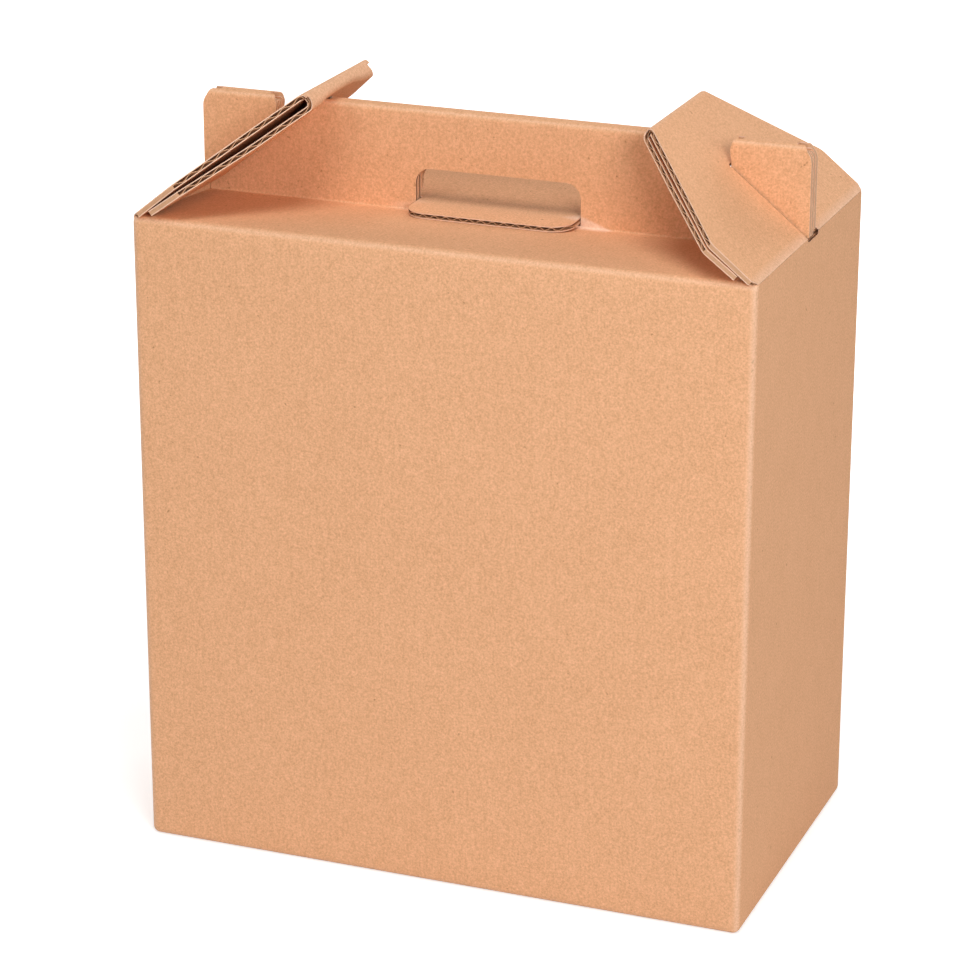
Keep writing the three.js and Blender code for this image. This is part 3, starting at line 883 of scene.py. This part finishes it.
# %% [markdown]
# ## The gable flaps
# Each side wall carries a flap that closes one end of the roof. It is folded back at its ridge,
# so it is two boards thick, and its slot lets the ear through. The cut along its slanted edges
# opens the flutes, which show as a row of long dark holes. The two layers are pressed together
# where they sit in the handle's slit, and the lower one bows away at either side of it.

# %% One sheet, folded back at the ridge
outer_level = -half_board
ridge_corner = flap_length - half_board
ridge_bend = half_board + 0.05  # the tightest bend that its inner paper can make


def inner_level(up):
    return -(board + layer_gap(up) + half_board)


flap_line = FoldLine(
    (0.1, outer_level),
    (ridge_corner, outer_level, ridge_bend),
    (ridge_corner, inner_level(ridge_corner), ridge_bend),
    (inner_layer_start, inner_level(inner_layer_start)),
)
flap_apex = flap_line.bends.mean()
print("gable flap", round(flap_line.length), "mm with both layers")

# %% The flap's outline on the flat sheet
flap_shoulder = 30.7
ridge_half = 40.8
foot_half = half_depth - 3.4
corner_rounding = 6.0


def flap_edge(ridge_end, ridge_rounding):
    """Half width of the flap against the way up its slope, with rounded corners."""
    corners = [
        [4, half_depth],
        [flap_shoulder, half_depth],
        [flap_length, ridge_end],
        [flap_length, 0],
    ]
    corners = np.array(corners)
    shoulder = rounded(corners[0], corners[1], corners[2], corner_rounding)[0]
    ridge = rounded(corners[1], corners[2], corners[3], ridge_rounding)[0]
    edge = np.concatenate([[[0.1, foot_half]], corners[:1], shoulder, ridge])
    return edge[:, ::-1]


def up_sheet(seen, after=0.0, until=None):
    """Flat points of the flap's sheet from points (across, up its slope), on one of its layers."""
    return np.stack([seen[:, 0], flap_line.length_at(seen[:, 1], 0, after, until)], 1)


outer_edge = up_sheet(flap_edge(ridge_half, corner_rounding - 2), until=flap_apex)
lower = flap_edge(ridge_half - 1.6, 0.3)  # a little narrower at the ridge, so that no notch shows
lower = lower[lower[:, 1] > inner_layer_start]
lower = np.concatenate([[[half_depth, inner_layer_start]], lower])
flap_outline = both_sides([*outer_edge, *up_sheet(lower, after=flap_apex)[::-1]])
slot_half = slot_width / 2
slot_shown = slit_end + 1.2  # the board springs back under the hook
slot_lengths = [
    (-BEYOND, flap_line.length_at(slot_shown, 0, until=flap_apex)),
    (flap_line.length_at(slot_shown, 0, after=flap_apex), flap_line.length + BEYOND),
]
flap_slots = [
    [
        (slot_middle - slot_half, low),
        (slot_middle + slot_half, low),
        (slot_middle + slot_half, high),
        (slot_middle - slot_half, high),
    ]
    for low, high in slot_lengths
]

# %% The bowed lower layer, and places on the flap
bow_start, bow_width = 12.0, 22.0  # from the slot's middle, where the bow starts and grows
mitre = 0.48  # the tangent of half the turn from the wall to the flap


def bow(u, v):
    """How the lower layer stands away: 0 beside the slot and at its mouth, 1 near the ridge."""
    up = np.interp(v, flap_line.stations, flap_line.places[:, 0])
    share = np.clip((up - inner_layer_start) / (ridge_middle - inner_layer_start), 0, 1)
    side = np.clip((abs(u - slot_middle) - bow_start) / bow_width, 0, 1)
    lower_layer = np.clip((v - flap_apex + 1) / 4, 0, 1)
    return np.clip(1.5 * share, 0, 1) * side * side * (3 - 2 * side) * lower_layer


def flap_place(side, bowed):
    """Places on a flap: up its slope and out of its face, with the crease's mitre at its foot."""

    def place(u, v, height):
        up, out = flap_line.at(v, height)
        up = up + np.clip(1 - v / 4, 0, 1) * (half_board - height) * mitre
        x, z = on_flap(up, out - bowed * bow(u, v))
        return side * x, u, z

    return place


# %% Both flaps
bow_rows = np.concatenate([flap_line.stations, steps_between(0, flap_line.length, 6.0)])


def flap_fold(x, y, z):
    """The hinge crease and the ridge, paler as rubbed paper with a painted highlight."""
    x = half_width - abs(x)
    hinge = near(x, 1.0) * near(z - wall_height, 1.2)
    up = x * math.cos(flap_slope) + (z - wall_height) * math.sin(flap_slope)
    return 0.5 * hinge + 0.25 * near(up - flap_length + 0.5, 1.6)


for name, side, bowed in (("left", -1, 2.4), ("right", 1, 1.2)):
    flap_skins = corrugated(
        flap_outline,
        flap_place(side, bowed),
        bow_rows,
        holes=flap_slots,
        closed_from=half_depth - 0.6,
    )
    make_piece(name + "_flap_board", name + "_flap", flap_skins, flap_fold, name + "_gable_flap")

# %% [markdown]
# ## Floor, light and camera
# The box stands on a plain pale floor between soft lamps, the strongest at the front right. The
# camera sees white behind it, which comes from Light Path and adds no light to the box. The
# camera looks from the photograph's angle with a long lens.

# %% The floor and the world


def seen_directly(tree):
    """1 for a ray from the camera, from a gloss or through glass, else 0."""
    path = add_node(tree, "LightPath").outputs
    most = maths(tree, "MAXIMUM", path["Is Camera Ray"], path["Is Glossy Ray"])
    return maths(tree, "MAXIMUM", most, path["Is Transmission Ray"])


world = bpy.data.worlds.new("Studio")
world.use_nodes = True
tree = world.node_tree
tree.nodes.clear()
around = add_node(tree, "Background", Color=(1, 1, 1, 1), Strength=0.12)
behind = add_node(tree, "Background", Color=(1, 1, 1, 1), Strength=1.0)
shown = seen_directly(tree)
mixed = add_node(tree, "MixShader", _0=shown, _1=around.outputs[0], _2=behind.outputs[0])
add_node(tree, "OutputWorld", Surface=mixed.outputs[0])
bpy.context.scene.world = world

floor_mesh = bpy.data.meshes.new("floor")
reach = 6.0
floor_corners = [(-reach, -reach, 0), (reach, -reach, 0), (reach, reach, 0), (-reach, reach, 0)]
floor_mesh.from_pydata(floor_corners, [], [(0, 1, 2, 3)])
floor = bpy.data.objects.new("floor", floor_mesh)
bpy.context.scene.collection.objects.link(floor)
floor_paint = bpy.data.materials.new("Pale floor")
floor_paint.use_nodes = True
tree = floor_paint.node_tree
tree.nodes.clear()
matt = add_node(tree, "BsdfDiffuse", Color=(0.8, 0.8, 0.8, 1))
spot = add_node(tree, "TexCoord").outputs["Object"]
away = add_node(tree, "VectorMath", {"operation": "LENGTH"}, _0=spot).outputs["Value"]
pale_range = {"From_Min": 0.25, "From_Max": 0.9, "To_Min": 0.5, "To_Max": 1.0}
paler = add_node(tree, "MapRange", Value=away, **pale_range)
strength = maths(tree, "MULTIPLY", seen_directly(tree), paler.outputs[0])
glow = add_node(tree, "Emission", Color=(1, 1, 1, 1), Strength=strength)
both = add_node(tree, "AddShader", _0=matt.outputs[0], _1=glow.outputs[0])
add_node(tree, "OutputMaterial", Surface=both.outputs[0])
floor_mesh.materials.append(floor_paint)

# %% The lamps


def lamp(name, place, target, size, power):
    """A square soft lamp at a place, turned towards a target."""
    data = bpy.data.lights.new(name, "AREA")
    data.size = size
    data.energy = power
    light = bpy.data.objects.new(name, data)
    light.location = place
    light.rotation_euler = (Vector(place) - Vector(target)).to_track_quat("Z", "Y").to_euler()
    bpy.context.scene.collection.objects.link(light)


box_middle = (0, 0, 0.2)
lamp("Front right", (1.35, -1.75, 1.2), box_middle, 0.8, 26.5)
lamp("Front left", (-1.05, -2.1, 1.35), box_middle, 0.8, 11.5)
lamp("Over", (0.1, -0.5, 2.4), box_middle, 1.1, 19)
lamp("Right", (2.2, -0.5, 0.8), box_middle, 1.0, 4.5)
lamp("Back", (0.5, 2.3, 1.2), box_middle, 1.0, 18)
lamp("Left", (-2.3, 0.5, 0.9), box_middle, 1.0, 12)

# %% The camera
azimuth, elevation, roll = map(math.radians, (21.064, 20.179, 0.144))
distance = 1.9073
aim = Vector((-0.00667, 0, 0.19139))
back = Vector(
    (
        math.sin(azimuth) * math.cos(elevation),
        -math.cos(azimuth) * math.cos(elevation),
        math.sin(elevation),
    )
)
right = Vector((0, 0, 1)).cross(back).normalized()
above = back.cross(right)
turned_right = math.cos(roll) * right + math.sin(roll) * above
turned_up = math.cos(roll) * above - math.sin(roll) * right
camera = bpy.data.objects.new("Camera", bpy.data.cameras.new("Camera"))
camera.data.lens = 128.66
camera.matrix_world = Matrix.Translation(aim + back * distance) @ Matrix(
    [turned_right, turned_up, back]
).transposed().to_4x4()
bpy.context.scene.collection.objects.link(camera)
bpy.context.scene.camera = camera
bpy.context.scene.view_settings.view_transform = "Standard"
